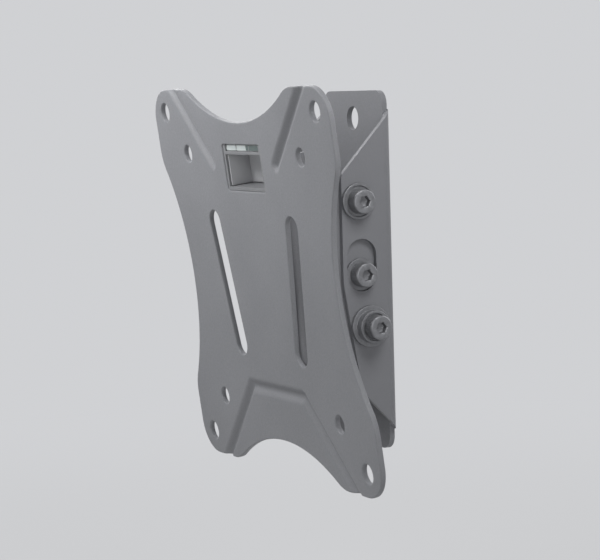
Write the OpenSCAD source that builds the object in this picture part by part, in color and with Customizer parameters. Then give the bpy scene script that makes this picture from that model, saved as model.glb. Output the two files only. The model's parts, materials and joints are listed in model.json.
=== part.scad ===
// Tilting wall mount for a small television with a 75 or 100 mm hole square.
// The origin is on the wall face, at the middle of the wall bracket.
// X runs to the right as seen from the room, Y into the wall, Z up. Sizes are in millimetres.

/* [Sheet metal] */
// Thickness of every steel sheet
sheet = 1.6; // [1.4:0.1:2]
// Inside radius of the bends
bend_r = 1.4; // [0.6:0.1:2]

/* [Wall bracket] */
// Width of the wall bracket's flat back plate
bracket_w = 36; // [34:0.5:44]
// Height of the wall bracket
bracket_h = 104; // [98:1:130]
// Corner radius of the wall bracket
bracket_corner = 4; // [1:0.5:6]
// Diameter of the two wall screw holes
wall_hole_d = 7; // [4:0.1:9]
// Distance between the two wall screw holes
wall_hole_pitch = 88; // [80:1:90]
// How far the ears stand out from the wall
ear_depth = 17; // [16.4:0.1:18]
// Height at which an ear's top edge meets the wall
ear_top_back = 46.6; // [42:0.2:47.8]
// Height of an ear's upper front corner
ear_top_front = 28.2; // [27.6:0.2:34]
// Height at which an ear's front edge starts to fall back
ear_waist = -2.8; // [-8:0.2:2]
// How far an ear's lower front corner stands out from the wall
ear_low_depth = 11.8; // [11.2:0.1:14]
// Height of an ear's lower front corner
ear_low_front = -33.8; // [-38:0.2:-28]
// Height at which an ear's bottom edge meets the wall
ear_low_back = -46; // [-47.8:0.2:-42]
// Radius of an ear's two front corners
ear_corner = 3; // [1:0.5:4]
// Radius of the bow where an ear's front edge starts to fall back
ear_bow = 12; // [4:1:16]

/* [Tilt] */
// Tilt of the screen plate as it stands, top edge towards the room
tilt_rest = 7.6; // [-2:0.2:12]
// Smallest tilt
tilt_least = -2; // [-2.5:0.5:2]
// Largest tilt
tilt_most = 12; // [8:0.5:12]
// Distance of the tilt axis from the wall
pivot_setback = 11; // [10.4:0.1:11.6]
// Height of the tilt axis above the middle of the wall bracket
pivot_rise = -0.3; // [-3:0.1:3]
// Distance of the upper clamp screw above the tilt axis
upper_rise = 21; // [19:0.2:22]
// Distance of the upper clamp screw behind the tilt axis
upper_back = 1.8; // [1.4:0.1:2.8]
// Distance of the lower clamp screw below the tilt axis
lower_drop = 15; // [14:0.2:15.6]
// Gap between the faces that slide on each other
slide_gap = 0.05; // [0.03:0.01:0.1]

/* [Screen plate] */
// Width of the screen plate
plate_w = 116; // [112:1:130]
// Height of the screen plate
plate_h = 114; // [112:0.5:130]
// Corner radius of the plate's four arms
arm_corner = 9.5; // [4:0.5:9.5]
// Radius of the four hollows between the arms
hollow_r = 62; // [58:1:90]
// Depth of the hollows at the left and right
side_hollow = 10.8; // [4:0.2:12]
// Depth of the hollows at the top and bottom
top_hollow = 10; // [4:0.2:12]
// Radius that eases the corners between the hollows and the straight edges
ease_r = 12; // [4:1:14]
// Distance of the plate's front face from the tilt axis
plate_reach = 22.3; // [22:0.1:30]
// Height of the hole square's middle above the tilt axis
vesa_rise = 0.5; // [-1:0.5:3]
// Side of the larger hole square
vesa_pitch = 100; // [100]
// Side of the smaller hole square
vesa_small_pitch = 75; // [75]
// Diameter of the holes of the larger square
vesa_hole_d = 5.8; // [4.4:0.1:6.5]
// Diameter of the holes of the smaller square
vesa_small_hole_d = 5.2; // [4.4:0.1:6]

/* [Plate openings] */
// Width of the two long slots
slot_w = 7.2; // [5:0.2:8]
// Distance of a long slot's top end from the middle line
slot_top_x = 25.5; // [24:0.5:29]
// Height of the top end's centre
slot_top_z = 17; // [10:0.5:20]
// Distance of a long slot's bottom end from the middle line
slot_low_x = 19.7; // [19.5:0.1:22]
// Height of the bottom end's centre
slot_low_z = -19.4; // [-22:0.2:-10]
// Width of the level window
window_w = 25; // [22:0.5:26]
// Height of the level window
window_h = 13.6; // [12:0.2:14]
// Height of the window's lower edge
window_low = 27; // [26.5:0.1:28]
// Corner radius of the window
window_corner = 1; // [0.2:0.2:2]

/* [Stiffening grooves] */
// Width of a groove at the plate's face
groove_w = 3.6; // [2:0.2:4]
// Width of a groove's floor
groove_floor_w = 1.2; // [0.6:0.1:1.8]
// Depth of the grooves
groove_depth = 1.3; // [0.6:0.1:1.5]
// How much wider a groove's ridge is on the back of the plate
ridge_extra = 1.6; // [1:0.1:2]
// Distance of an upper groove's inner end from the middle line
upper_groove_x = 21; // [19:0.5:24]
// Height of an upper groove's inner end
upper_groove_z = 35; // [32:0.5:38]
// Half the length of the lower groove's level stretch
lower_groove_x = 17; // [12:0.5:20]
// Height of the lower groove's level stretch
lower_groove_z = -32; // [-34:0.5:-31]

/* [Tilt bracket] */
// Height of the tilt bracket's foot below the tilt axis
foot_drop = 26; // [22:0.5:27]
// Height of the top of the tilt bracket's web above the tilt axis
web_top = 25; // [22:0.5:26]
// Height of the top of the tilt bracket's cheeks above the tilt axis
cheek_top = 37.5; // [30:0.5:39]
// Depth of the cheeks at their top
cheek_top_depth = 12.5; // [8:0.5:14]
// Radius of the cheeks' upper rear corner
cheek_corner = 2.5; // [1:0.5:3]
// Metal left round each clamp screw hole
hole_wall = 1.8; // [1.2:0.05:2]
// Radius of the cheeks round the tilt axis
cheek_r = 7; // [5.8:0.1:7.2]

/* [Fasteners] */
// Thread diameter of the screws
screw_d = 4; // [4]
// Diameter of a screw's head
head_d = 7; // [6.5:0.1:7.4]
// Height of a screw's head
head_h = 4; // [3:0.1:4.5]
// Width across the flats of a head's hexagon socket
socket_af = 3; // [2.5:0.1:4]
// Depth of a head's hexagon socket
socket_depth = 2.2; // [1.5:0.1:2.6]
// Width across the flats of a nut
nut_af = 7; // [6.5:0.1:7]
// Height of a nut
nut_h = 3.2; // [2.4:0.1:4]
// Play of a clamp screw across its slot
slot_play = 0.3; // [0.2:0.05:0.6]
// Width of the upright slot that carries the pivot bush
pivot_slot_w = 9.5; // [8.6:0.1:9.6]
// Height of that slot from end to end
pivot_slot_h = 15; // [12:0.5:16]
// How far a pivot bush lies below the ear's outer face
bush_sink = 0.6; // [0.2:0.1:1]
// Diameter of the upper clamp washers
cup_d = 10.4; // [9.6:0.1:11]
// Thickness of the upper clamp washers
cup_h = 1.2; // [1:0.1:1.6]
// Diameter of the lower clamp spacers' foot
spacer_d = 12; // [10.5:0.1:12.4]
// Thickness of the lower clamp spacers' foot
spacer_foot_h = 1.2; // [0.8:0.1:1.6]
// Height of the lower clamp spacers
spacer_h = 3.7; // [2.5:0.1:5]
// Diameter of the lower clamp spacers' barrel
spacer_barrel_d = 9.4; // [8.6:0.1:10]
// Width of the rim round a screw head's seat
seat_rim = 0.8; // [0.5:0.1:1]
// Depth of a screw head's seat
seat_depth = 0.5; // [0.2:0.1:0.7]
// Thickness of the nylon washers under the nuts
nylon_h = 0.8; // [0.5:0.1:1.2]
// Diameter of the nylon washers
nylon_d = 7.6; // [7.2:0.1:7.8]

/* [Level] */
// Length of the vial
vial_l = 22; // [18:0.5:22.4]
// Diameter of the vial
vial_d = 5; // [4.5:0.1:5.4]
// Wall of the level's housing
housing_wall = 1; // [0.8:0.1:1.2]
// Depth of the housing behind the plate's front face
housing_depth = 9; // [8.6:0.1:11]
// Height of the lip under the vial
lip_h = 1; // [0.8:0.1:1.4]
// Distance of the lip's lower edge below the window's upper edge
lip_drop = 3; // [2.6:0.1:3.4]
// Play of the housing all round in the window
housing_fit = 0.1; // [0.05:0.05:0.2]
// How far the housing's rim lies below the plate's front face
rim_sink = 0.3; // [0.1:0.1:0.6]

/* [Hidden] */
$fn = 64;
fine = 180;
cut = 1;
bore_play = 0.1;
screw_edge = 0.4;

ear_x = bracket_w / 2 + bend_r + sheet;
cheek_x = ear_x - sheet - slide_gap;
nut_x = cheek_x - sheet;
plate_back = sheet - plate_reach;
bend_out = bend_r + sheet;
clamp_slot_w = screw_d + slot_play;
clamp_hole_d = screw_d + bore_play;
bush_d = pivot_slot_w - 2 * slide_gap;
bush_face = ear_x - bush_sink;
pivot_slot_travel = pivot_slot_h - pivot_slot_w;
window_top = window_low + window_h;
thread_end = 1;

upper = [upper_back, upper_rise];
lower = [0, -lower_drop];
upper_seat = ear_x + slide_gap + cup_h - seat_depth;
lower_seat = ear_x + slide_gap + spacer_h - seat_depth;

vial_z = window_top + vial_d / 2 - lip_drop + lip_h;
vial_depth = sheet + housing_wall + vial_d / 2;

// The centre of a circle of radius r that touches both edges at the corner b.
function corner_centre(a, b, c, r) =
    let (u = (a - b) / norm(a - b), v = (c - b) / norm(c - b))
    b + (u + v) / norm(u + v) * 2 * r / norm(u - v);

// The direction from the centres of two circles to the line that touches both, on their right.
function tangent_angle(a, ra, b, rb) =
    atan2(b.y - a.y, b.x - a.x) - acos((ra - rb) / norm(b - a));

function on_rim(c, r, angle) = c + r * [cos(angle), sin(angle)];

// A convex outline stretched round circles that are listed anticlockwise.
module belt(centres, radii) {
    n = len(centres);
    polygon([
        for (i = [0:n - 1])
            let (j = (i + 1) % n, t = tangent_angle(centres[i], radii[i], centres[j], radii[j]))
            each [on_rim(centres[i], radii[i], t), on_rim(centres[j], radii[j], t)]
    ]);
    for (i = [0:n - 1])
        if (radii[i] > 0)
            translate(centres[i]) circle(r = radii[i]);
}

// A convex polygon, listed anticlockwise, with a radius at each corner.
module rounded(points, radii) {
    n = len(points);
    belt([for (i = [0:n - 1])
        corner_centre(points[(i + n - 1) % n], points[i], points[(i + 1) % n], radii[i])], radii);
}

module rounded_rectangle(w, h, r) {
    rounded([[-w, -h] / 2, [w, -h] / 2, [w, h] / 2, [-w, h] / 2], [r, r, r, r]);
}

// A bar from y = -d to y = 0 with its two corners at y = 0 rounded.
module rounded_back(w, d, r) {
    translate([-w / 2, -d]) square([w, d - r]);
    translate([r - w / 2, -d]) square([w - 2 * r, d]);
    for (side = [-1, 1])
        translate([side * (w / 2 - r), -r]) circle(r = r);
}

// The section of a folded channel that opens towards -y, with the outside of its web at y = 0.
module channel_section(w, d) {
    difference() {
        rounded_back(w, d, bend_out);
        translate([0, -sheet]) rounded_back(w - 2 * sheet, d, bend_r);
    }
}

// Turns a profile drawn as (y, z) into a prism along x, centred on x = 0.
module across(w) {
    rotate([90, 0, 90]) linear_extrude(w, center = true) children();
}

// Moves pieces from the tilt axis to where the tilting head stands.
module head() {
    translate([0, -pivot_setback, pivot_rise]) rotate([tilt_rest, 0, 0]) children();
}

// Lays a drawing of the screen plate on the plate's back face.
module on_plate() {
    head() translate([0, plate_back, vesa_rise]) rotate([90, 0, 0]) children();
}

// Mirrors a right-hand piece to the given side.
module on_side(side) {
    mirror([side < 0 ? 1 : 0, 0, 0]) children();
}

// Puts a turned piece on a fastener's axis, its z pointing outwards and z = 0 at distance x.
module on_axis(place, x) {
    head() translate([x, place.x, place.y]) rotate([0, 90, 0]) children();
}

// A slot that follows a clamp screw at place while the head tilts, cut along x.
module clamp_arc(place) {
    radius = norm(place);
    start = atan2(place.y, place.x) + tilt_least;
    sweep = tilt_most - tilt_least;
    translate([0, -pivot_setback, pivot_rise]) rotate([90, 0, 90]) {
        rotate([0, 0, start])
            rotate_extrude(angle = sweep)
                translate([radius - clamp_slot_w / 2, -2 * ear_x]) square([clamp_slot_w, 4 * ear_x]);
        for (turn = [0, sweep])
            rotate([0, 0, start + turn])
                translate([radius, 0, 0]) cylinder(d = clamp_slot_w, h = 4 * ear_x, center = true);
    }
}

module ear_profile() {
    rounded([[0, ear_low_back], [0, ear_top_back], [-ear_depth, ear_top_front],
        [-ear_depth, ear_waist], [-ear_low_depth, ear_low_front]],
        [0, 0, ear_corner, ear_bow, ear_corner]);
}

// The folded wall bracket: a flat back plate with an ear folded forwards at each side.
module wall_bracket() {
    color([0.36, 0.37, 0.39])
    difference() {
        union() {
            rotate([90, 0, 0]) linear_extrude(sheet) rounded_rectangle(bracket_w, bracket_h, bracket_corner);
            intersection() {
                linear_extrude(bracket_h, center = true) channel_section(2 * ear_x, ear_depth);
                across(3 * ear_x) ear_profile();
            }
        }
        for (side = [-1, 1])
            translate([0, cut, side * wall_hole_pitch / 2])
                rotate([90, 0, 0]) cylinder(d = wall_hole_d, h = sheet + 2 * cut);
        translate([0, -pivot_setback, pivot_rise]) across(3 * ear_x) {
            circle(d = pivot_slot_w);
            translate([0, pivot_slot_travel]) circle(d = pivot_slot_w);
            translate([-pivot_slot_w / 2, 0]) square([pivot_slot_w, pivot_slot_travel]);
        }
        clamp_arc(upper);
        clamp_arc(lower);
    }
}

// The centre of the circle that eases the corner between an edge at y = h and a hollow centred on y = top.
function ease_centre(h, top) =
    [sqrt((hollow_r + ease_r) * (hollow_r + ease_r) - (top - h + ease_r) * (top - h + ease_r)), h - ease_r];

// The corner that such a circle replaces.
module eased_corner(h, top) {
    centre = ease_centre(h, top);
    touch = [0, top] + (centre - [0, top]) * hollow_r / (hollow_r + ease_r);
    polygon([touch, [touch.x, h + cut], [centre.x, h + cut], [centre.x, h]]);
}

module four_ways() {
    for (x = [0, 1], z = [0, 1])
        mirror([x, 0]) mirror([0, z]) children();
}

module plate_outline() {
    hollow_x = plate_w / 2 - side_hollow + hollow_r;
    hollow_z = plate_h / 2 - top_hollow + hollow_r;
    difference() {
        rounded_rectangle(plate_w, plate_h, arm_corner);
        for (side = [-1, 1]) {
            translate([side * hollow_x, 0]) circle(r = hollow_r, $fn = fine);
            translate([0, side * hollow_z]) circle(r = hollow_r, $fn = fine);
        }
        four_ways() {
            eased_corner(plate_h / 2, hollow_z);
            mirror([1, -1]) eased_corner(plate_w / 2, hollow_x);
        }
    }
    four_ways() {
        translate(ease_centre(plate_h / 2, hollow_z)) circle(r = ease_r, $fn = fine);
        mirror([1, -1]) translate(ease_centre(plate_w / 2, hollow_x)) circle(r = ease_r, $fn = fine);
    }
}

module hole_square(pitch, d) {
    for (x = [-1, 1], y = [-1, 1])
        translate([x, y] * pitch / 2) circle(d = d);
}

module plate_openings() {
    hole_square(vesa_pitch, vesa_hole_d);
    hole_square(vesa_small_pitch, vesa_small_hole_d);
    for (side = [0, 1])
        mirror([side, 0])
            belt([[slot_low_x, slot_low_z], [slot_top_x, slot_top_z]], [slot_w / 2, slot_w / 2]);
    translate([0, window_low + window_h / 2]) rounded_rectangle(window_w, window_h, window_corner);
}

// One straight stretch of a pressed groove from a to b, wide at z = 0 and narrow at z = -depth.
module pressed_leg(a, b, wide, narrow, depth) {
    length = norm(b - a);
    translate([a.x, a.y, 0]) rotate([90, 0, 90 + atan2(b.y - a.y, b.x - a.x)])
        linear_extrude(length)
            polygon([[-wide / 2, 0], [-narrow / 2, -depth], [narrow / 2, -depth], [wide / 2, 0]]);
    for (p = [a, b])
        translate([p.x, p.y, -depth]) cylinder(d1 = narrow, d2 = wide, h = depth);
}

// All the grooves, which run out through the plate's top and bottom edges.
module pressed_legs(wide, narrow, depth) {
    run_up = plate_h / 2 + groove_w - upper_groove_z;
    run_down = plate_h / 2 + groove_w + lower_groove_z;
    for (side = [-1, 1]) {
        pressed_leg([side * upper_groove_x, upper_groove_z],
            [side * (upper_groove_x + run_up), upper_groove_z + run_up], wide, narrow, depth);
        pressed_leg([side * lower_groove_x, lower_groove_z],
            [side * (lower_groove_x + run_down), lower_groove_z - run_down], wide, narrow, depth);
    }
    pressed_leg([-lower_groove_x, lower_groove_z], [lower_groove_x, lower_groove_z], wide, narrow, depth);
}

// The screen plate: one pressed sheet with its holes, slots, window and stiffening grooves.
module screen_plate() {
    color([0.5, 0.51, 0.53])
    on_plate() difference() {
        union() {
            linear_extrude(sheet) plate_outline();
            intersection() {
                pressed_legs(groove_w + ridge_extra, groove_floor_w + ridge_extra, groove_depth);
                translate([0, 0, -groove_depth]) linear_extrude(groove_depth + cut) plate_outline();
            }
        }
        translate([0, 0, sheet]) pressed_legs(groove_w, groove_floor_w, groove_depth);
        translate([0, 0, -cut]) linear_extrude(sheet + 2 * cut) plate_openings();
    }
}

// The outline of a cheek of the tilt bracket, from the plate back to round the three screws.
module cheek_profile() {
    clamp_r = clamp_hole_d / 2 + hole_wall;
    front = plate_back + sheet / 4;
    back = plate_back + cheek_top_depth - cheek_corner;
    belt([[front, sheet / 4 - foot_drop], lower, [0, 0], upper,
        [back, cheek_top - cheek_corner], [front, cheek_top - sheet / 4]],
        [sheet / 4, clamp_r, cheek_r, clamp_r, cheek_corner, sheet / 4]);
}

// The folded tilt bracket behind the plate: a web on the plate and a cheek inside each ear.
module tilt_bracket() {
    color([0.4, 0.41, 0.43])
    head() difference() {
        intersection() {
            translate([0, plate_back, 0]) mirror([0, 1, 0])
                linear_extrude(4 * cheek_top, center = true) channel_section(2 * cheek_x, plate_reach + cheek_r);
            across(3 * ear_x) cheek_profile();
        }
        translate([-ear_x, plate_back - cut, web_top]) cube([2 * ear_x, bend_out + cut, cheek_top]);
        across(3 * ear_x) circle(d = clamp_hole_d);
        across(3 * ear_x) translate(upper) circle(d = clamp_hole_d);
        across(3 * ear_x) translate(lower) circle(d = clamp_hole_d);
    }
}

// A hexagon socket cap screw with its head's seat at z = 0 and its shank of length l below.
module cap_screw(l) {
    r = screw_d / 2;
    color([0.3, 0.31, 0.33])
    difference() {
        rotate_extrude()
            polygon([[0, -l], [r - screw_edge, -l], [r, screw_edge - l], [r, 0], [head_d / 2, 0],
                [head_d / 2, head_h - screw_edge], [head_d / 2 - screw_edge, head_h], [0, head_h]]);
        translate([0, 0, head_h - socket_depth])
            cylinder(d = socket_af / cos(30), h = socket_depth + cut, $fn = 6);
    }
}

// A flat washer or a nut: an outer form less the screw's bore.
module bored(h) {
    difference() {
        children();
        translate([0, 0, -cut]) cylinder(d = screw_d, h = h + 2 * cut);
    }
}

module nut(place, grip) {
    color([0.6, 0.6, 0.6])
    on_axis(place, nut_x - grip - nut_h) bored(nut_h)
        cylinder(d = nut_af / cos(30), h = nut_h, $fn = 6);
}

module nylon_washer(place) {
    color([0.9, 0.9, 0.86])
    on_axis(place, nut_x - nylon_h) bored(nylon_h)
        cylinder(d = nylon_d, h = nylon_h);
}

// The length of shank from a head's seat at x through the nut.
function shank(x) = x - (nut_x - nylon_h - nut_h) + thread_end;

module pivot_screw(side) {
    on_side(side) on_axis([0, 0], bush_face) cap_screw(shank(bush_face));
}

// The bush turns in the round lower end of the ear's upright slot.
module pivot_bush(side) {
    h = bush_face - cheek_x;
    color([0.2, 0.2, 0.21])
    on_side(side) on_axis([0, 0], cheek_x) bored(h) cylinder(d = bush_d, h = h);
}

module pivot_washer(side) {
    on_side(side) nylon_washer([0, 0]);
}

module pivot_nut(side) {
    on_side(side) nut([0, 0], nylon_h);
}

module upper_screw(side) {
    on_side(side) on_axis(upper, upper_seat) cap_screw(shank(upper_seat));
}

// The washer over the upper slot, with a shallow seat for the screw head.
module upper_cup(side) {
    color([0.22, 0.22, 0.23])
    on_side(side) on_axis(upper, ear_x + slide_gap) bored(cup_h) difference() {
        cylinder(d = cup_d, h = cup_h);
        translate([0, 0, cup_h - seat_depth]) cylinder(d = cup_d - 2 * seat_rim, h = seat_depth + cut);
    }
}

module upper_washer(side) {
    on_side(side) nylon_washer(upper);
}

module upper_nut(side) {
    on_side(side) nut(upper, nylon_h);
}

module lower_screw(side) {
    on_side(side) on_axis(lower, lower_seat) cap_screw(shank(lower_seat));
}

// The stepped spacer over the lower slot, which lifts its screw head clear of the ear.
module lower_spacer(side) {
    color([0.22, 0.22, 0.23])
    on_side(side) on_axis(lower, ear_x + slide_gap) bored(spacer_h) difference() {
        union() {
            cylinder(d = spacer_d, h = spacer_foot_h);
            cylinder(d = spacer_barrel_d, h = spacer_h);
        }
        translate([0, 0, spacer_h - seat_depth])
            cylinder(d = spacer_barrel_d - 2 * seat_rim, h = seat_depth + cut);
    }
}

module lower_washer(side) {
    on_side(side) nylon_washer(lower);
}

module lower_nut(side) {
    on_side(side) nut(lower, nylon_h);
}

// The moulded housing behind the window, with a lip that carries the vial.
module level_housing() {
    w = window_w - 2 * housing_fit;
    low = window_low + housing_fit;
    high = window_top - housing_fit;
    top = vial_z + vial_d / 2 + housing_wall;
    color([0.16, 0.16, 0.17])
    on_plate() difference() {
        translate([-w / 2, low, sheet - housing_depth]) {
            cube([w, high - low, housing_depth - rim_sink]);
            cube([w, top - low, housing_depth - sheet]);
        }
        translate([housing_wall - w / 2, low + housing_wall, sheet - housing_depth + housing_wall])
            cube([w - 2 * housing_wall, window_top - lip_drop - low - housing_wall, housing_depth]);
        translate([-vial_l / 2, vial_z, sheet - vial_depth])
            rotate([0, 90, 0]) cylinder(d = vial_d, h = vial_l);
        translate([-vial_l / 2, window_top - lip_drop + lip_h, sheet - vial_depth])
            cube([vial_l, lip_drop, vial_depth + cut]);
    }
}

module level_vial() {
    color([0.75, 0.9, 0.6])
    on_plate() translate([-vial_l / 2, vial_z, sheet - vial_depth])
        rotate([0, 90, 0]) cylinder(d = vial_d, h = vial_l);
}

wall_bracket();
screen_plate();
tilt_bracket();
pivot_screw(-1);  // pivot_screw_left
pivot_screw(1);  // pivot_screw_right
pivot_bush(-1);  // pivot_bush_left
pivot_bush(1);  // pivot_bush_right
pivot_washer(-1);  // pivot_washer_left
pivot_washer(1);  // pivot_washer_right
pivot_nut(-1);  // pivot_nut_left
pivot_nut(1);  // pivot_nut_right
upper_screw(-1);  // upper_screw_left
upper_screw(1);  // upper_screw_right
upper_cup(-1);  // upper_cup_left
upper_cup(1);  // upper_cup_right
upper_washer(-1);  // upper_washer_left
upper_washer(1);  // upper_washer_right
upper_nut(-1);  // upper_nut_left
upper_nut(1);  // upper_nut_right
lower_screw(-1);  // lower_screw_left
lower_screw(1);  // lower_screw_right
lower_spacer(-1);  // lower_spacer_left
lower_spacer(1);  // lower_spacer_right
lower_washer(-1);  // lower_washer_left
lower_washer(1);  // lower_washer_right
lower_nut(-1);  // lower_nut_left
lower_nut(1);  // lower_nut_right
level_housing();
level_vial();
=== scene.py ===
# The looks of a tilting wall mount for a small television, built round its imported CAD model.
# Pieces are drawn in millimetres in frames of their own and then laid into the row frame in metres.
import json
import math

import bmesh
import bpy
from mathutils import Matrix, Vector, geometry
from mathutils.kdtree import KDTree


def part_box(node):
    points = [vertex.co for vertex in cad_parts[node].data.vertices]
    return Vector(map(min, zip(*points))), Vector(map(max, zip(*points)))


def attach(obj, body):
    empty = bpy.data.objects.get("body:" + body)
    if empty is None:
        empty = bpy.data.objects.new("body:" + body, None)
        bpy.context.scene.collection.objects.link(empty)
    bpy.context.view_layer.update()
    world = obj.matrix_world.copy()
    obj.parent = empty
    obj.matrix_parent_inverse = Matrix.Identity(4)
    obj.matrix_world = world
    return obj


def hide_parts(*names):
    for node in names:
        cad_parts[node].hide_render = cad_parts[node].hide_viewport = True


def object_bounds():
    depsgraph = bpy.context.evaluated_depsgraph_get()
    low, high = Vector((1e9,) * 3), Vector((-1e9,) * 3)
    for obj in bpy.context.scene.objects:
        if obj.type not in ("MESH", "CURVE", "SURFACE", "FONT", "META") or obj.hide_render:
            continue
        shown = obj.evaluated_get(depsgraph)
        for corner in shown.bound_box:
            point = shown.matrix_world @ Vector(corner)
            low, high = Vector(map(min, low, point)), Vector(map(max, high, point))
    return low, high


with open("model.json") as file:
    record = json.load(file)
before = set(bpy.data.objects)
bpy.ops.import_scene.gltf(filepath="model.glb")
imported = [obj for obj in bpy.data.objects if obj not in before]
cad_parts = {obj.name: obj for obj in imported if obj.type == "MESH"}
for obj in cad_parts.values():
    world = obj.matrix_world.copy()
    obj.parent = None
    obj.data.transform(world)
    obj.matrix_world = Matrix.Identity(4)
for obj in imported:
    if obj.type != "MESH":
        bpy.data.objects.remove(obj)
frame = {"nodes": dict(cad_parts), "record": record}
cad_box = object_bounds()

MM = 0.001
TURN = 2 * math.pi
QUARTER = math.pi / 2

# The screen plate, in millimetres from the middle of its hole squares.
SHEET = 1.6
PLATE_W = 116.0
PLATE_H = 114.0
ARM_CORNER = 9.5
HOLLOW_R = 62.0
SIDE_HOLLOW = 10.8
TOP_HOLLOW = 10.0
EASE_R = 12.0
VESA_PITCH = 100.0
VESA_HOLE_D = 5.8
SMALL_PITCH = 75.0
SMALL_HOLE_D = 5.2
SLOT_W = 7.2
SLOT_TOP = (25.5, 17.0)
SLOT_LOW = (19.7, -19.4)
WINDOW_W = 25.0
WINDOW_H = 13.6
WINDOW_LOW = 27.0
WINDOW_CORNER = 1.0
GROOVE_W = 3.6
GROOVE_FLOOR_W = 1.2
GROOVE_DEPTH = 1.3
RIDGE_EXTRA = 1.6
UPPER_GROOVE = (21.0, 35.0)
LOWER_GROOVE = (17.0, -32.0)

# How far a pressed groove's soft shoulders reach into its floor and out over its rim.
SOFT_FLOOR = 0.45
SOFT_RIM = 0.55

# The radii that punching and the coat leave on the plate's front and back edges, and their steps.
FRONT_EDGE = 0.4
BACK_EDGE = 0.25
EDGE_STEPS = 4

# The steps along the plate's arcs and straight stretches.
HOLLOW_STEPS = 30
EASE_STEPS = 8
CORNER_STEPS = 18
SIDE_STEPS = 8
TOP_STEPS = 9
HOLE_STEPS = 48
SLOT_END_STEPS = 24
SLOT_SIDE_STEPS = 20
WINDOW_CORNER_STEPS = 8
WINDOW_SIDE_STEPS = 10

# The points inside the plate: fine ones this near to a groove, and coarse ones elsewhere. They keep clear
# of the edges by a gap and a share of their own step.
FINE_STEP = 0.55
COARSE_STEP = 5.0
FINE_REACH = 3.4
EDGE_SHARE = 0.3
EDGE_GAP = 0.1

# The edge radii of the pieces that are rounded copies of their CAD nodes.
BRACKET_EDGE = 0.3
CHANNEL_EDGE = 0.25
BUSH_EDGE = 0.2
COLLAR_EDGE = 0.18
WASHER_EDGE = 0.15
HOUSING_EDGE = 0.15
ROUND_STEPS = 3

# The vial of the level in the window. Depths are behind the plate's front face.
VIAL_L = 22.0
VIAL_D = 5.0
VIAL_DOME = 0.8
VIAL_UP = 41.1
VIAL_DEPTH = 5.1

# The milky front over the vial, the liquid that shows right of the bubble, and the two ring marks.
FRONT_SINK = 0.7
FRONT_GAP = 0.08
FRONT_END = 0.1
FRONT_OVERLAP = 0.8
FRONT_EDGE_R = 0.2
BUBBLE_END = 2.2
LIQUID_END = 0.35
LIQUID_INSET = 0.15
LIQUID_DEEP = 0.5
LIQUID_PROUD = 0.06
LIQUID_EDGE_R = 0.12
RING_APART = 8.4
RING_W = 0.3
RING_INSET = 0.02
RING_DEEP = 0.2
RING_PROUD = 0.08
RING_EDGE_R = 0.04

# The lining of the housing's pocket. Its pale grey is painted light: it is lighter than the housing so
# that the shaded pocket reads as lit.
LINING_W = 22.4
LINING_LOW = 28.3
LINING_HIGH = 37.4
LINING_H = 0.4
LINING_EDGE_R = 0.12
LINING_SINK = 1.0
HOUSING_FLOOR = 8.0
HOUSING_IN = 22.8

# The marks of the spot welds that join the channel to the plate, and their section from the rim to the
# middle: how far in from the radius, and how high.
WELD_D = 5.0
WELD_PLACES = ((-8, 15), (8, 15), (-8, -15), (8, -15))
WELD_SECTION = ((0, -0.05), (0.15, 0.06), (0.5, 0.12), (0.9, 0.07), (1.1, 0.015), (2.3, 0.01))

# The screws. A thread's wave is this much too high and cut off, which leaves its crest flat. The thread
# stops this far before the head, and the shank has its full width after the rise.
HEAD_D = 7.0
HEAD_H = 4.0
SCREW_D = 4.0
THREAD_PITCH = 0.7
THREAD_DEPTH = 0.38
ROOT_R = SCREW_D / 2 - THREAD_DEPTH
THREAD_WAVE = 1.15
THREAD_STOP = 0.5
THREAD_RISE = 0.3
RINGS_PER_PITCH = 6
TIP_BEVEL = 0.35

# The nuts: the width of the flat face as a share of the width across flats, the slope of the cone at the
# corners, the bevel of the bore, and how far the bore reaches into the screw.
NUT_AF = 7.0
NUT_CONE = 0.97
NUT_SLOPE = math.radians(25)
BORE_BEVEL = 0.25
BORE_BEVEL_H = 0.3
BORE_GRIP = 0.02

# A screw head's section: how far in from its radius and how high over its seat below the knurl, then
# how far in and how far under its top above the knurl.
HEAD_FOOT = ((0.35, 0), (0.12, 0.05), (0.02, 0.2))
HEAD_CROWN = ((0, 0.45), (0.1, 0.2), (0.28, 0.06), (0.5, 0))
KNURLS = 36
KNURL_DEPTH = 0.14
KNURL_FOOT = 0.3
KNURL_TOP = 0.55
KNURL_RUN = 0.2

# The hexagon socket and its drilled bottom.
SOCKET_AF = 3.0
SOCKET_DEPTH = 2.2
SOCKET_BEVEL = 0.16
SOCKET_BEVEL_H = 0.18
SOCKET_SHELF = 0.25
DRILL_GAP = 0.02
DRILL_RISE = 0.2
DRILL_TIP_R = 0.2

# Steps round the turned pieces.
SCREW_STEPS = KNURLS * 4
NUT_STEPS = 96
ROUND_BAR_STEPS = 48
DOME_STEPS = 8

# Vertices nearer than this many metres are one, faces at a smaller angle than this are one face, and
# points of the plate nearer than this many millimetres are one.
MERGE = 1e-7
FLAT = math.radians(0.5)
SAME_POINT = 1e-6

# Edges at a larger angle than these are shaded sharp, in degrees.
SHARP_PLATE = 60
SHARP_ROUNDED = 50
SHARP_TURNED = 40
SHARP_SCREW = 35
SHARP_NUT = 25

# A rounded copy's edges are rounded from this angle on, in degrees.
BEVEL_FROM = 30


def mount(name):
    """A mount of the record by its name."""
    return next(m for m in frame["record"]["mounts"] if m["name"] == name)


PLATE_CENTRE = Vector(mount("vesa_100")["pos_m"])
PLATE_FRONT = Vector(mount("vesa_100")["axis"])
SIDEWAYS = Vector((1, 0, 0))
PLATE_UP = SIDEWAYS.cross(-PLATE_FRONT)


def into_row(origin, x_axis, y_axis, z_axis):
    """The matrix from millimetres along three axes to metres in the row frame."""
    axes = Matrix((x_axis, y_axis, z_axis)).transposed().to_4x4()
    return Matrix.Translation(origin) @ axes @ Matrix.Scale(MM, 4)


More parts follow.
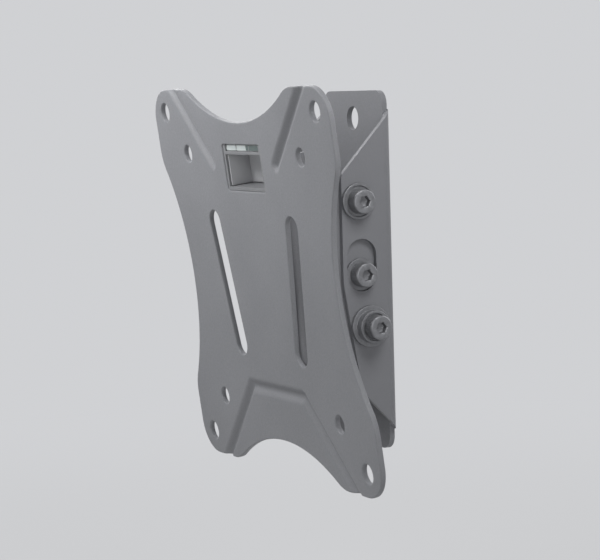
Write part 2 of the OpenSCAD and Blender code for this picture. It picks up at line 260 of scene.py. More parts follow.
ON_PLATE = into_row(PLATE_CENTRE, SIDEWAYS, PLATE_UP, PLATE_FRONT)


def along_plate(x, y, depth):
    """The frame of a piece that lies sideways behind the plate's face: z = 0 at that x, z sideways."""
    centre = ON_PLATE @ Vector((x, y, -depth))
    return into_row(centre, PLATE_UP, PLATE_FRONT, SIDEWAYS)


def on_axis(node):
    """The frame of a turned piece: z = 0 on its outer end, z outwards. Also gives its length."""
    low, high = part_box(node)
    side = 1 if low[0] + high[0] > 0 else -1
    outer = high[0] if side > 0 else low[0]
    centre = Vector((outer, (low[1] + high[1]) / 2, (low[2] + high[2]) / 2))
    out = SIDEWAYS * side
    return into_row(centre, PLATE_UP.cross(out), PLATE_UP, out), (high[0] - low[0]) / MM


def dress(name, mesh, material, replaces, body, sharp):
    mesh.materials.clear()
    mesh.materials.append(material)
    mesh.shade_smooth()
    mesh.set_sharp_from_angle(angle=math.radians(sharp))
    obj = bpy.data.objects.new(name, mesh)
    bpy.context.scene.collection.objects.link(obj)
    weigh = obj.modifiers.new("even_shading", "WEIGHTED_NORMAL")
    weigh.keep_sharp = True
    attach(obj, body)
    if replaces:
        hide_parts(*replaces)


def piece(name, verts, faces, to_row, material, replaces=(), sharp=SHARP_TURNED):
    """A drawn piece of the head, laid into the row frame."""
    mesh = bpy.data.meshes.new(name)
    mesh.from_pydata([to_row @ Vector(v) for v in verts], [], faces)
    bm = bmesh.new()
    bm.from_mesh(mesh)
    bmesh.ops.remove_doubles(bm, verts=bm.verts, dist=MERGE)
    bmesh.ops.recalc_face_normals(bm, faces=bm.faces)
    bm.to_mesh(mesh)
    bm.free()
    dress(name, mesh, material, replaces, "head", sharp)


def rounded_copy(name, node, radius, material, body="head"):
    """A CAD node's mesh with its sharp edges rounded, which stands for the node."""
    mesh = frame["nodes"][node].data.copy()
    bm = bmesh.new()
    bm.from_mesh(mesh)
    bmesh.ops.remove_doubles(bm, verts=bm.verts, dist=MERGE)
    bmesh.ops.dissolve_limit(bm, angle_limit=FLAT, verts=bm.verts, edges=bm.edges)
    bm.to_mesh(mesh)
    bm.free()
    obj = bpy.data.objects.new(name, mesh)
    bpy.context.scene.collection.objects.link(obj)
    rounding = obj.modifiers.new("rounding", "BEVEL")
    rounding.width = radius * MM
    rounding.segments = ROUND_STEPS
    rounding.limit_method = "ANGLE"
    rounding.angle_limit = math.radians(BEVEL_FROM)
    rounding.use_clamp_overlap = True
    depsgraph = bpy.context.evaluated_depsgraph_get()
    rounded = bpy.data.meshes.new_from_object(obj.evaluated_get(depsgraph))
    bpy.data.objects.remove(obj)
    dress(name, rounded, material, (node,), body, SHARP_ROUNDED)


# Materials.

# Most of a noise's values lie in this band.
NOISE_LOW = 0.3
NOISE_HIGH = 0.7

# The sockets of a mix node that are used when it mixes colours.
FACTOR = 0
COLOUR_A = 6
COLOUR_B = 7
COLOUR_OUT = 2

# The powder coat's least and greatest roughness, and its specular level.
COAT_ROUGHNESS = (0.43, 0.56)
COAT_SPECULAR = 0.22

# How far red, green and blue light scatter inside a translucent plastic, in metres.
SCATTER = (0.0012, 0.0012, 0.001)


def new_material(name):
    """A material with its shader, and a function that adds and links nodes."""
    material = bpy.data.materials.new(name)
    material.use_nodes = True
    tree = material.node_tree
    shader = tree.nodes["Principled BSDF"]

    def add(kind, inputs=(), **settings):
        node = tree.nodes.new(kind)
        for key, value in settings.items():
            setattr(node, key, value)
        for key, value in dict(inputs).items():
            if isinstance(value, bpy.types.NodeSocket):
                tree.links.new(value, node.inputs[key])
            else:
                node.inputs[key].default_value = value
        return node

    return material, tree, shader, add


def noise(add, place, scale, detail, roughness):
    """A noise's value at a place in the object's own space; the scale is per metre."""
    inputs = {"Vector": place, "Scale": scale, "Detail": detail, "Roughness": roughness}
    return add("ShaderNodeTexNoise", inputs).outputs["Fac"]


def opaque(colour):
    """A colour or a grey as red, green, blue and a full alpha."""
    return (*colour, 1) if isinstance(colour, tuple) else (colour, colour, colour, 1)


def ramp(add, value, stops):
    """Colours or greys along a value, as (position, colour) pairs."""
    node = add("ShaderNodeValToRGB", {"Fac": value})
    elements = node.color_ramp.elements
    for element, (position, colour) in zip(elements, stops[:1] + stops[-1:]):
        element.position = position
        element.color = opaque(colour)
    for position, colour in stops[1:-1]:
        elements.new(position).color = opaque(colour)
    return node.outputs["Color"]


def shade(colour, factor):
    return tuple(c * factor for c in colour)


def spread(add, value, low, high):
    """A noise's value spread from low to high."""
    inputs = {"Value": value, "From Min": NOISE_LOW, "From Max": NOISE_HIGH, "To Min": low, "To Max": high}
    return add("ShaderNodeMapRange", inputs).outputs[0]


def bump(add, height, strength, depth, **more):
    """The surface's normal over bumps of a depth in millimetres; more can give the normal below them."""
    inputs = {"Height": height, "Strength": strength, "Distance": depth * MM, **more}
    return add("ShaderNodeBump", inputs).outputs[0]


def powder_coat(name, colour):
    """A satin powder coat: fine orange peel, a little speckle and slow changes of tone."""
    material, tree, shader, add = new_material(name)
    place = add("ShaderNodeTexCoord").outputs["Object"]
    peel = noise(add, place, scale=1500, detail=2, roughness=0.45)
    grain = noise(add, place, scale=6000, detail=2, roughness=0.6)
    tone = noise(add, place, scale=28, detail=3, roughness=0.5)
    speckle = ramp(add, grain, [(0.32, shade(colour, 0.86)), (0.5, colour), (0.72, shade(colour, 1.12))])
    slow = ramp(add, tone, [(NOISE_LOW, 0.94), (NOISE_HIGH, 1.05)])
    mixed = add("ShaderNodeMix", {FACTOR: 1, COLOUR_A: speckle, COLOUR_B: slow},
                data_type="RGBA", blend_type="MULTIPLY")
    tree.links.new(mixed.outputs[COLOUR_OUT], shader.inputs["Base Color"])
    tree.links.new(spread(add, peel, *COAT_ROUGHNESS), shader.inputs["Roughness"])
    soft = bump(add, peel, strength=0.35, depth=0.12)
    tree.links.new(bump(add, grain, strength=0.25, depth=0.03, Normal=soft), shader.inputs["Normal"])
    shader.inputs["Specular IOR Level"].default_value = COAT_SPECULAR
    return material


def plain_metal(name, colour, roughness, metallic=1.0):
    """A turned metal face with faint mottling and fine scratches."""
    material, tree, shader, add = new_material(name)
    place = add("ShaderNodeTexCoord").outputs["Object"]
    mottle = noise(add, place, scale=700, detail=4, roughness=0.6)
    fine = noise(add, place, scale=5000, detail=2, roughness=0.5)
    tint = ramp(add, mottle, [(NOISE_LOW, shade(colour, 0.82)), (NOISE_HIGH, shade(colour, 1.14))])
    tree.links.new(tint, shader.inputs["Base Color"])
    tree.links.new(spread(add, mottle, roughness - 0.06, roughness + 0.1), shader.inputs["Roughness"])
    tree.links.new(bump(add, fine, strength=0.3, depth=0.04), shader.inputs["Normal"])
    shader.inputs["Metallic"].default_value = metallic
    return material


def moulded(name, colour, roughness, depth=0.03, translucent=0.0):
    """A moulded plastic with a fine spark-eroded texture."""
    material, tree, shader, add = new_material(name)
    place = add("ShaderNodeTexCoord").outputs["Object"]
    texture = noise(add, place, scale=2500, detail=3, roughness=0.6)
    cloud = noise(add, place, scale=120, detail=2, roughness=0.5)
    tint = ramp(add, cloud, [(NOISE_LOW, shade(colour, 0.92)), (NOISE_HIGH, shade(colour, 1.08))])
    tree.links.new(tint, shader.inputs["Base Color"])
    tree.links.new(spread(add, texture, roughness - 0.05, roughness + 0.07), shader.inputs["Roughness"])
    tree.links.new(bump(add, texture, strength=0.4, depth=depth), shader.inputs["Normal"])
    if translucent:
        shader.inputs["Subsurface Weight"].default_value = translucent
        shader.inputs["Subsurface Radius"].default_value = SCATTER
    return material


PLATE_COAT = powder_coat("plate_coat", (0.222, 0.226, 0.24))
BRACKET_COAT = powder_coat("bracket_coat", (0.2, 0.203, 0.216))
BLACK_STEEL = plain_metal("black_steel", (0.2, 0.203, 0.214), 0.38, metallic=0.35)
ZINC = plain_metal("zinc", (0.62, 0.62, 0.6), 0.32)
NYLON = moulded("nylon", (0.74, 0.73, 0.68), 0.4, translucent=0.3)
DARK_PLASTIC = moulded("dark_plastic", (0.19, 0.193, 0.202), 0.5)
# The lining's pale grey is painted light that brightens the shaded pocket of the level's housing.
PAINTED_LIGHT_PLASTIC = moulded("painted_light_plastic", (0.46, 0.465, 0.48), 0.42)
MILKY = moulded("milky_acrylic", (0.5, 0.545, 0.54), 0.16, depth=0.004)
LIQUID = moulded("liquid", (0.075, 0.105, 0.1), 0.12, depth=0.004)


# The screen plate.


def arc(centre, r, start, end, count):
    """Points along an arc, both ends included; angles in radians."""
    return [(centre[0] + r * math.cos(start + (end - start) * k / count),
             centre[1] + r * math.sin(start + (end - start) * k / count)) for k in range(count + 1)]


def line(a, b, count):
    """Points from a to b, neither end included."""
    return [(a[0] + (b[0] - a[0]) * k / count, a[1] + (b[1] - a[1]) * k / count) for k in range(1, count)]


def eased_bend(centre, edge):
    """The centre of the circle that eases a hollow, with its centre that far out, into a straight edge."""
    up = edge - EASE_R
    return math.sqrt((HOLLOW_R + EASE_R) ** 2 - (centre - up) ** 2), up


def quarter_outline(inset):
    """The outline from the middle of the right side to the middle of the top, drawn in by a distance."""
    w, h = PLATE_W / 2, PLATE_H / 2
    hollow, ease, corner = HOLLOW_R + inset, EASE_R - inset, ARM_CORNER - inset
    side, top = w - SIDE_HOLLOW + HOLLOW_R, h - TOP_HOLLOW + HOLLOW_R
    ease_z, ease_x = eased_bend(side, w)
    towards = math.atan2(-ease_z, side - ease_x)
    points = arc((side, 0), hollow, math.pi, math.pi + towards, HOLLOW_STEPS)
    points += arc((ease_x, ease_z), ease, towards, 0, EASE_STEPS)[1:]
    bend = arc((w - ARM_CORNER, h - ARM_CORNER), corner, 0, QUARTER, CORNER_STEPS)
    points += line(points[-1], bend[0], SIDE_STEPS) + bend
    ease_x, ease_z = eased_bend(top, h)
    towards = math.atan2(top - ease_z, -ease_x)
    bend = arc((ease_x, ease_z), ease, QUARTER, towards, EASE_STEPS)
    points += line(points[-1], bend[0], TOP_STEPS) + bend
    return points + arc((0, top), hollow, towards - math.pi, -QUARTER, HOLLOW_STEPS)[1:]


def plate_outline(inset):
    """The plate's outline, anticlockwise, drawn in by a distance."""
    quarter = quarter_outline(inset)
    half = quarter + [(-x, z) for x, z in reversed(quarter[:-1])]
    return half[:-1] + [(-x, -z) for x, z in half[:-1]]


def round_hole(centre, d, inset):
    return arc(centre, d / 2 + inset, 0, TURN, HOLE_STEPS)[:-1]


def slot_hole(side, inset):
    """A long slanted slot on one side."""
    top, low = (side * SLOT_TOP[0], SLOT_TOP[1]), (side * SLOT_LOW[0], SLOT_LOW[1])
    along = math.atan2(top[1] - low[1], top[0] - low[0])
    r = SLOT_W / 2 + inset
    over = arc(top, r, along - QUARTER, along + QUARTER, SLOT_END_STEPS)
    under = arc(low, r, along + QUARTER, along + 3 * QUARTER, SLOT_END_STEPS)
    up_side = line(under[-1], over[0], SLOT_SIDE_STEPS)
    return over + line(over[-1], under[0], SLOT_SIDE_STEPS) + under + up_side


def window_hole(inset):
    """The level's window."""
    w, r = WINDOW_W / 2 + inset, WINDOW_CORNER + inset
    low, high = WINDOW_LOW - inset, WINDOW_LOW + WINDOW_H + inset
    corners = [(w - r, low + r), (w - r, high - r), (r - w, high - r), (r - w, low + r)]
    loop = []
    for k, corner in enumerate(corners):
        bend = arc(corner, r, (k - 1) * QUARTER, k * QUARTER, WINDOW_CORNER_STEPS)
        if loop:
            loop += line(loop[-1], bend[0], WINDOW_SIDE_STEPS)
        loop += bend
    return loop + line(loop[-1], loop[0], WINDOW_SIDE_STEPS)


def plate_loops(inset):
    """The outline and every hole. The inset moves each of them into the metal."""
    loops = [plate_outline(inset)]
    for pitch, d in ((VESA_PITCH, VESA_HOLE_D), (SMALL_PITCH, SMALL_HOLE_D)):
        loops += [round_hole((x * pitch / 2, z * pitch / 2), d, inset) for x in (-1, 1) for z in (-1, 1)]
    return loops + [slot_hole(-1, inset), slot_hole(1, inset), window_hole(inset)]


def groove_legs():
    """The middle lines of the pressed grooves, which run out through the top and bottom edges."""
    run_up = PLATE_H / 2 + GROOVE_W - UPPER_GROOVE[1]
    run_down = PLATE_H / 2 + GROOVE_W + LOWER_GROOVE[1]
    legs = [((-LOWER_GROOVE[0], LOWER_GROOVE[1]), LOWER_GROOVE)]
    for side in (-1, 1):
        legs.append(((side * UPPER_GROOVE[0], UPPER_GROOVE[1]),
                     (side * (UPPER_GROOVE[0] + run_up), UPPER_GROOVE[1] + run_up)))
        legs.append(((side * LOWER_GROOVE[0], LOWER_GROOVE[1]),
                     (side * (LOWER_GROOVE[0] + run_down), LOWER_GROOVE[1] - run_down)))
    return legs


LEGS = groove_legs()


def leg_distance(p, leg):
    """The distance of p from a leg's middle line."""
    (ax, az), (bx, bz) = leg
    along = ((p[0] - ax) * (bx - ax) + (p[1] - az) * (bz - az)) / ((bx - ax) ** 2 + (bz - az) ** 2)
    along = min(1, max(0, along))
    return math.hypot(p[0] - ax - along * (bx - ax), p[1] - az - along * (bz - az))


def groove_distance(p):
    """The distance of p from the nearest groove's middle line."""
    return min(leg_distance(p, leg) for leg in LEGS)


def pressed(p, extra):
    """How deep the sheet is pressed at p, with soft shoulders; extra widens the ridge on the back."""
    floor = (GROOVE_FLOOR_W + extra) / 2 - SOFT_FLOOR
    rim = (GROOVE_W + extra) / 2 + SOFT_RIM
    s = min(1, max(0, (groove_distance(p) - floor) / (rim - floor)))
    return GROOVE_DEPTH * (1 - s * s * (3 - 2 * s))


def inside(p, loop):
    """Whether p lies inside a closed loop."""
    result = False
    x, z = p
    for (ax, az), (bx, bz) in zip(loop, loop[1:] + loop[:1]):
        if (az > z) != (bz > z) and x < ax + (bx - ax) * (z - az) / (bz - az):
            result = not result
    return result


def in_metal(p, loops):
    """Whether p lies inside the outline and outside every hole."""
    return inside(p, loops[0]) and not any(inside(p, loop) for loop in loops[1:])


def distance_to(points):
    """A function that gives the distance from p to the nearest of the points."""
    tree = KDTree(len(points))
    for k, p in enumerate(points):
        tree.insert((p[0], p[1], 0), k)
    tree.balance()
    return lambda p: tree.find((p[0], p[1], 0))[2]


def face_points(loops):
    """Points on the plate's face: close together round the grooves, and sparse elsewhere."""
    from_edge = distance_to([p for loop in loops for p in loop])
    points = []
    for step, close in ((FINE_STEP, True), (COARSE_STEP, False)):
        rows = int(PLATE_H / step / 2) + 1
        columns = int(PLATE_W / step / 2) + 1
        for row in range(-rows, rows + 1):
            for column in range(-columns, columns + 1):
                p = ((column + 0.5 * (row % 2)) * step, row * step)
                if (groove_distance(p) < FINE_REACH) != close:
                    continue
                if from_edge(p) > EDGE_SHARE * step + EDGE_GAP and in_metal(p, loops):
                    points.append(p)
    return points


def sheet_face(edge):
    """Triangles that fill the plate inside its loops, drawn in by the edge's radius."""
    loops = plate_loops(edge)
    points, borders = [], []
    for loop in loops:
        start = len(points)
        points += loop
        borders += [(start + k, start + (k + 1) % len(loop)) for k in range(len(loop))]
    points += face_points(loops)
    corners = [Vector(p) for p in points]
    flat, _, triangles, *_ = geometry.delaunay_2d_cdt(corners, borders, [], 0, SAME_POINT)
    kept = []
    for triangle in triangles:
        middle = sum((flat[k] for k in triangle), Vector((0, 0))) / 3
        if in_metal(middle, loops):
            kept.append(triangle)
    return [tuple(p) for p in flat], kept


def screen_plate():
    """The pressed screen plate, with rounded cut edges and soft grooves."""
    verts, faces = [], []
    for edge, extra, back in ((FRONT_EDGE, 0.0, 0), (BACK_EDGE, RIDGE_EXTRA, 1)):
        points, triangles = sheet_face(edge)
        start = len(verts)
        verts += [(x, z, -pressed((x, z), extra) - back * SHEET) for x, z in points]
        faces += [[start + k for k in triangle] for triangle in triangles]
    angles = [k * QUARTER / EDGE_STEPS for k in range(EDGE_STEPS + 1)]
    profile = [(FRONT_EDGE * (1 - math.sin(a)), FRONT_EDGE * (1 - math.cos(a)), 0) for a in angles]
    profile += [(BACK_EDGE * (1 - math.cos(a)), BACK_EDGE * (1 - math.sin(a)), 1) for a in angles]
    rings = [plate_loops(inset) for inset, _, _ in profile]
    for which, outline in enumerate(rings[0]):
        count = len(outline)
        start = len(verts)
        for (_, depth, back), loops in zip(profile, rings):
            for p in loops[which]:
                down = SHEET + pressed(p, RIDGE_EXTRA) - depth if back else depth + pressed(p, 0.0)
                verts.append((p[0], p[1], -down))
        for ring in range(len(profile) - 1):
            for k in range(count):
                a, b = start + ring * count + k, start + ring * count + (k + 1) % count
                faces.append([a, b, b + count, a + count])
    piece("plate", verts, faces, ON_PLATE, PLATE_COAT, ("screen_plate",), SHARP_PLATE)


screen_plate()
rounded_copy("bracket", "wall_bracket", BRACKET_EDGE, BRACKET_COAT, "wall")
rounded_copy("channel", "tilt_bracket", CHANNEL_EDGE, BRACKET_COAT)


# The fasteners.


def turned(rings, steps, bored=False):
    """A surface round z from rings of (radius, height), each a number or a function of the angle."""
    verts, faces = [], []
    for radius, height in rings:
        for k in range(steps):
            a = TURN * k / steps
            r = radius(a) if callable(radius) else radius
            z = height(a) if callable(height) else height
            verts.append((r * math.cos(a), r * math.sin(a), z))
    count = len(rings)
    for ring in range(count if bored else count - 1):
        for k in range(steps):
            a, b = ring * steps, (ring + 1) % count * steps
            n = (k + 1) % steps
            faces.append([a + k, a + n, b + n, b + k])
    if not bored:
        faces.append(list(range(steps)))
        faces.append(list(range((count - 1) * steps, count * steps)))
    return verts, faces


def hexagon(flats):
    """The radius of a hexagon across its flats, as a function of the angle."""
    sixth = math.pi / 3
    return lambda a: flats / 2 / math.cos((a % sixth) - sixth / 2)


def knurled(depth):
    """The radius of a head's knurled side."""
    return lambda a: HEAD_D / 2 - depth * (0.5 - 0.5 * math.cos(a * KNURLS))


def thread_rings(low, high):
    """The rings of a thread that fades in and out between two heights."""
    def thread(z):
        fade = max(0, min(1, (z - low) / THREAD_PITCH, (high - z) / THREAD_PITCH))

        def radius(a):
            wave = abs(((z / THREAD_PITCH - a / TURN) % 1) * 2 - 1)
            return ROOT_R + THREAD_DEPTH * fade * min(1, wave * THREAD_WAVE)
        return radius

    count = int((high - low) / THREAD_PITCH * RINGS_PER_PITCH)
    heights = [low + (high - low) * k / count for k in range(1, count)]
    return [(thread(z), z) for z in heights] + [(ROOT_R, high)]


def head_rings(seat):
    """The rings of a screw head from its seat to the edge of its socket."""
    rings = [(HEAD_D / 2 - inset, seat + height) for inset, height in HEAD_FOOT]
    rings.append((knurled(0), seat + KNURL_FOOT))
    rings.append((knurled(KNURL_DEPTH), seat + KNURL_FOOT + KNURL_RUN))
    rings.append((knurled(KNURL_DEPTH), -KNURL_TOP - KNURL_RUN))
    rings.append((knurled(0), -KNURL_TOP))
    return rings + [(HEAD_D / 2 - inset, -drop) for inset, drop in HEAD_CROWN]


def socket_rings():
    """The rings of a head's hexagon socket, down to its drilled bottom."""
    corner = SOCKET_AF / 2 / math.cos(math.pi / 6)
    return [(corner + SOCKET_BEVEL, 0), (hexagon(SOCKET_AF), -SOCKET_BEVEL_H),
            (hexagon(SOCKET_AF), SOCKET_SHELF - SOCKET_DEPTH),
            (SOCKET_AF / 2 - DRILL_GAP, DRILL_RISE - SOCKET_DEPTH), (DRILL_TIP_R, -SOCKET_DEPTH)]


def cap_screw(node):
    """A socket cap screw: threaded shank, knurled head and hexagon socket."""
    to_row, length = on_axis(node)
    seat = -HEAD_H
    high = seat - THREAD_STOP
    rings = [(ROOT_R - TIP_BEVEL, -length), (ROOT_R, TIP_BEVEL - length)]
    rings += thread_rings(TIP_BEVEL - length, high)
    rings += [(SCREW_D / 2, high + THREAD_RISE), (SCREW_D / 2, seat)]
    verts, faces = turned(rings + head_rings(seat) + socket_rings(), SCREW_STEPS)
    piece(f"{node}.look", verts, faces, to_row, BLACK_STEEL, (node,), SHARP_SCREW)


def nut(node):
    """A hexagon nut with both its faces turned to a cone at the corners."""
    to_row, height = on_axis(node)
    flats = hexagon(NUT_AF)
    cone = NUT_AF / 2 * NUT_CONE
    slope = math.tan(NUT_SLOPE)
    mouth, bore = SCREW_D / 2 + BORE_BEVEL, SCREW_D / 2 - BORE_GRIP
    rings = [(mouth, 0), (cone, 0), (flats, lambda a: -(flats(a) - cone) * slope)]
    rings += [(flats, lambda a: (flats(a) - cone) * slope - height), (cone, -height)]
    rings += [(mouth, -height), (bore, BORE_BEVEL_H - height), (bore, -BORE_BEVEL_H)]
    verts, faces = turned(rings, NUT_STEPS, bored=True)
    piece(f"{node}.look", verts, faces, to_row, ZINC, (node,), SHARP_NUT)


COLLARS = (("pivot_bush", BUSH_EDGE), ("upper_cup", COLLAR_EDGE), ("lower_spacer", COLLAR_EDGE))

for side in ("left", "right"):
    for place in ("pivot", "upper", "lower"):
        cap_screw(f"{place}_screw_{side}")
        nut(f"{place}_nut_{side}")
        washer = f"{place}_washer_{side}"
        rounded_copy(f"{washer}.look", washer, WASHER_EDGE, NYLON)
    for part, edge in COLLARS:
        rounded_copy(f"{part}_{side}.look", f"{part}_{side}", edge, BLACK_STEEL)


# The level.


def capsule(r, low, high, dome):
    """A round bar from low to high whose ends are domed over a length."""
    angles = [k * QUARTER / DOME_STEPS for k in range(1, DOME_STEPS + 1)]
    rings = [(r * math.sin(a), low + dome * (1 - math.cos(a))) for a in angles]
    rings += [(radius, low + high - z) for radius, z in reversed(rings)]
    return turned(rings, ROUND_BAR_STEPS)


def rounded_box(name, low, high, radius, material):
    """A box with rounded edges on the plate, from one corner to the other in millimetres."""
    bm = bmesh.new()
    bmesh.ops.create_cube(bm, size=1)
    for v in bm.verts:
        v.co = Vector(high[k] if v.co[k] > 0 else low[k] for k in range(3))
    bmesh.ops.bevel(bm, geom=bm.edges[:], offset=radius, segments=ROUND_STEPS, profile=0.5, affect="EDGES")
    verts = [v.co.copy() for v in bm.verts]
    faces = [[v.index for v in face.verts] for face in bm.faces]
    bm.free()
    piece(name, verts, faces, ON_PLATE, material, sharp=SHARP_ROUNDED)


def level_vial():
    """The vial behind its milky front, the liquid that shows right of the bubble, and the ring marks."""
    half, r = VIAL_L / 2, VIAL_D / 2
    verts, faces = capsule(r, -half, half, VIAL_DOME)
    to_row = along_plate(0, VIAL_UP, VIAL_DEPTH)
    piece("level_vial.look", verts, faces, to_row, MILKY, ("level_vial",))
    low, high = VIAL_UP - r + FRONT_GAP, WINDOW_LOW + WINDOW_H - FRONT_GAP
    rounded_box("level_front",
                (FRONT_END - half, low, r - VIAL_DEPTH - FRONT_OVERLAP),
                (half - FRONT_END, high, -FRONT_SINK),
                FRONT_EDGE_R, MILKY)
    rounded_box("level_liquid",
                (BUBBLE_END, low + LIQUID_INSET, -FRONT_SINK - LIQUID_DEEP),
                (half - LIQUID_END, high - LIQUID_INSET, LIQUID_PROUD - FRONT_SINK),
                LIQUID_EDGE_R, LIQUID)
    for name, x in (("level_ring_left", -RING_APART / 2), ("level_ring_right", RING_APART / 2)):
        rounded_box(name,
                    (x - RING_W / 2, low + RING_INSET, -FRONT_SINK - RING_DEEP),
                    (x + RING_W / 2, high - RING_INSET, RING_PROUD - FRONT_SINK),
                    RING_EDGE_R, DARK_PLASTIC)


def level_lining_painted_light():
    """The lining on the floor and the two sides of the housing's pocket. Its pale grey is painted light in
    the pocket's shade.
    """
    spans = {"level_pad_painted_light": (-LINING_W / 2, LINING_W / 2, LINING_H - HOUSING_FLOOR),
             "level_side_left_painted_light": (-HOUSING_IN / 2, LINING_H - HOUSING_IN / 2, -LINING_SINK),
             "level_side_right_painted_light": (HOUSING_IN / 2 - LINING_H, HOUSING_IN / 2, -LINING_SINK)}
    for name, (left, right, front) in spans.items():
        rounded_box(name, (left, LINING_LOW, -HOUSING_FLOOR), (right, LINING_HIGH, front),
                    LINING_EDGE_R, PAINTED_LIGHT_PLASTIC)


rounded_copy("level_housing.look", "level_housing", HOUSING_EDGE, DARK_PLASTIC)
level_vial()
level_lining_painted_light()


# The spot welds on the rear of the channel's web, which lies against the plate.


def spot_weld(number, x, y):
    """The round dented mark that a welding electrode leaves."""
    facing_back = Matrix.Rotation(math.pi, 4, "X")
    to_row = ON_PLATE @ Matrix.Translation((x, y, -2 * SHEET)) @ facing_back
    rings = [(WELD_D / 2 - inset, height) for inset, height in WELD_SECTION]
    verts, faces = turned(rings, ROUND_BAR_STEPS)
    piece(f"spot_weld_{number}", verts, faces, to_row, BRACKET_COAT, sharp=SHARP_PLATE)


for number, (x, y) in enumerate(WELD_PLACES, 1):
    spot_weld(number, x, y)


# The camera of the photograph. The mount is small in the photograph, so the lens is longer here.
# The distance and the clipping are in metres, and the lens and the sensor in millimetres.
AZIMUTH = math.radians(64.3)
ELEVATION = math.radians(4.9)
ROLL = math.radians(-1.6)
DISTANCE = 0.656
LENS = 136
SENSOR_W = 36
CLIP_START = 0.01

# The backdrop's colour, and the colour and strength of the light from everywhere.
PALE = (0.63, 0.637, 0.655)
WORLD_COLOUR = (0.97, 0.985, 1)
WORLD_LIGHT = 0.1

# The floor: its half width and how far it lies below the mount in metres, its greys and its roughness.
# It shows the backdrop's colour by a share that grows to 1 between two distances in metres.
FLOOR_REACH = 6.0
FLOOR_DROP = 0.05
FLOOR_GREYS = (0.49, 0.51)
FLOOR_ROUGHNESS = 0.9
FADE_FROM = 0.1
FADE_TO = 0.5
NEAR_SHARE = 0.75

# The lamps: the place from the middle of the plate and the size in metres, and the power in watts.
LAMPS = (("key", (-0.055, -0.125, 0.155), 0.11, 0.39),
         ("side", (0.2, 0.03, 0.19), 0.12, 0.36),
         ("right", (0.5, -0.13, 0.05), 0.2, 0.62),
         ("front", (0.0, -0.5, -0.02), 0.2, 0.36),
         ("back", (-0.35, 0.75, 0.4), 0.6, 4.5),
         ("left", (-0.7, 0.12, 0.3), 0.5, 2))


def camera():
    """The camera: its place and roll are the photograph's, and it looks at the middle of the mount."""
    level = math.cos(ELEVATION)
    direction = Vector((math.sin(AZIMUTH) * level, -math.cos(AZIMUTH) * level, math.sin(ELEVATION)))
    place = PLATE_CENTRE + DISTANCE * direction
    low, high = Vector(cad_box[0]), Vector(cad_box[1])
    ahead = ((low + high) / 2 - place).normalized()
    right = ahead.cross(Vector((0, 0, 1))).normalized()
    up = right.cross(ahead)
    rolled_right = right * math.cos(ROLL) + up * math.sin(ROLL)
    rolled_up = up * math.cos(ROLL) - right * math.sin(ROLL)
    axes = Matrix((rolled_right, rolled_up, -ahead)).transposed().to_4x4()
    data = bpy.data.cameras.new("photo_camera")
    data.lens = LENS
    data.sensor_width = SENSOR_W
    data.clip_start = CLIP_START
    obj = bpy.data.objects.new("photo_camera", data)
    obj.matrix_world = Matrix.Translation(place) @ axes
    bpy.context.scene.collection.objects.link(obj)
    bpy.context.scene.camera = obj


def lamp(name, offset, size, power):
    """A square soft box that faces the middle of the plate."""
    data = bpy.data.lights.new(name, "AREA")
    data.size = size
    data.energy = power
    obj = bpy.data.objects.new(name, data)
    obj.location = PLATE_CENTRE + Vector(offset)
    obj.rotation_euler = (PLATE_CENTRE - obj.location).to_track_quat("-Z", "Y").to_euler()
    bpy.context.scene.collection.objects.link(obj)


def larger(add, a, b):
    """The larger of two values."""
    return add("ShaderNodeMath", {0: a, 1: b}, operation="MAXIMUM").outputs[0]


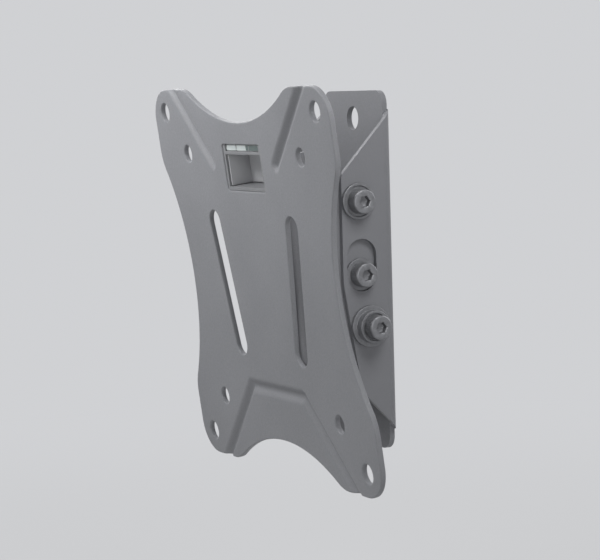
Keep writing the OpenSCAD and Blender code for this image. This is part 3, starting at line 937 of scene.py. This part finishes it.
def floor_material():
    """A grey floor that keeps the shadow and fades into the backdrop, also in reflections."""
    material, tree, shader, add = new_material("floor")
    place = add("ShaderNodeTexCoord").outputs["Object"]
    tone = noise(add, place, scale=3, detail=2, roughness=0.5)
    greys = ramp(add, tone, list(zip((NOISE_LOW, NOISE_HIGH), FLOOR_GREYS)))
    tree.links.new(greys, shader.inputs["Base Color"])
    shader.inputs["Roughness"].default_value = FLOOR_ROUGHNESS
    glow = add("ShaderNodeEmission", {"Color": opaque(PALE), "Strength": 1})
    away = add("ShaderNodeVectorMath", {0: place}, operation="LENGTH")
    near_to_far = {"Value": away.outputs["Value"], "From Min": FADE_FROM, "From Max": FADE_TO,
                   "To Min": NEAR_SHARE, "To Max": 1}
    fade = add("ShaderNodeMapRange", near_to_far, interpolation_type="SMOOTHSTEP")
    rays = add("ShaderNodeLightPath").outputs
    shown = larger(add, rays["Is Camera Ray"], rays["Is Glossy Ray"])
    shown = larger(add, shown, rays["Is Transmission Ray"])
    share = add("ShaderNodeMath", {0: fade.outputs[0], 1: shown}, operation="MULTIPLY")
    mix = add("ShaderNodeMixShader", {0: share.outputs[0], 1: shader.outputs[0], 2: glow.outputs[0]})
    tree.links.new(mix.outputs[0], tree.nodes["Material Output"].inputs["Surface"])
    return material


def stage():
    """A square floor below the mount."""
    height = cad_box[0][2] - FLOOR_DROP
    ways = ((-1, -1), (1, -1), (1, 1), (-1, 1))
    corners = [(x * FLOOR_REACH, y * FLOOR_REACH, height) for x, y in ways]
    mesh = bpy.data.meshes.new("floor")
    mesh.from_pydata(corners, [], [(0, 1, 2, 3)])
    mesh.materials.append(floor_material())
    floor = bpy.data.objects.new("floor", mesh)
    bpy.context.scene.collection.objects.link(floor)


def studio_world():
    """Plain soft light from everywhere, seen as a pale backdrop."""
    world = bpy.data.worlds.new("studio")
    world.use_nodes = True
    bpy.context.scene.world = world
    tree = world.node_tree
    light = tree.nodes["Background"]
    light.inputs["Color"].default_value = opaque(WORLD_COLOUR)
    light.inputs["Strength"].default_value = WORLD_LIGHT
    seen = tree.nodes.new("ShaderNodeBackground")
    seen.inputs["Color"].default_value = opaque(PALE)
    path = tree.nodes.new("ShaderNodeLightPath")
    shown = path.outputs["Is Camera Ray"]
    for ray in ("Is Glossy Ray", "Is Transmission Ray"):
        either = tree.nodes.new("ShaderNodeMath")
        either.operation = "MAXIMUM"
        tree.links.new(shown, either.inputs[0])
        tree.links.new(path.outputs[ray], either.inputs[1])
        shown = either.outputs[0]
    mix = tree.nodes.new("ShaderNodeMixShader")
    for k, socket in enumerate((shown, light.outputs[0], seen.outputs[0])):
        tree.links.new(socket, mix.inputs[k])
    tree.links.new(mix.outputs[0], tree.nodes["World Output"].inputs["Surface"])


camera()
stage()
studio_world()
for name, offset, size, power in LAMPS:
    lamp(name, offset, size, power)
bpy.context.scene.view_settings.view_transform = "Standard"
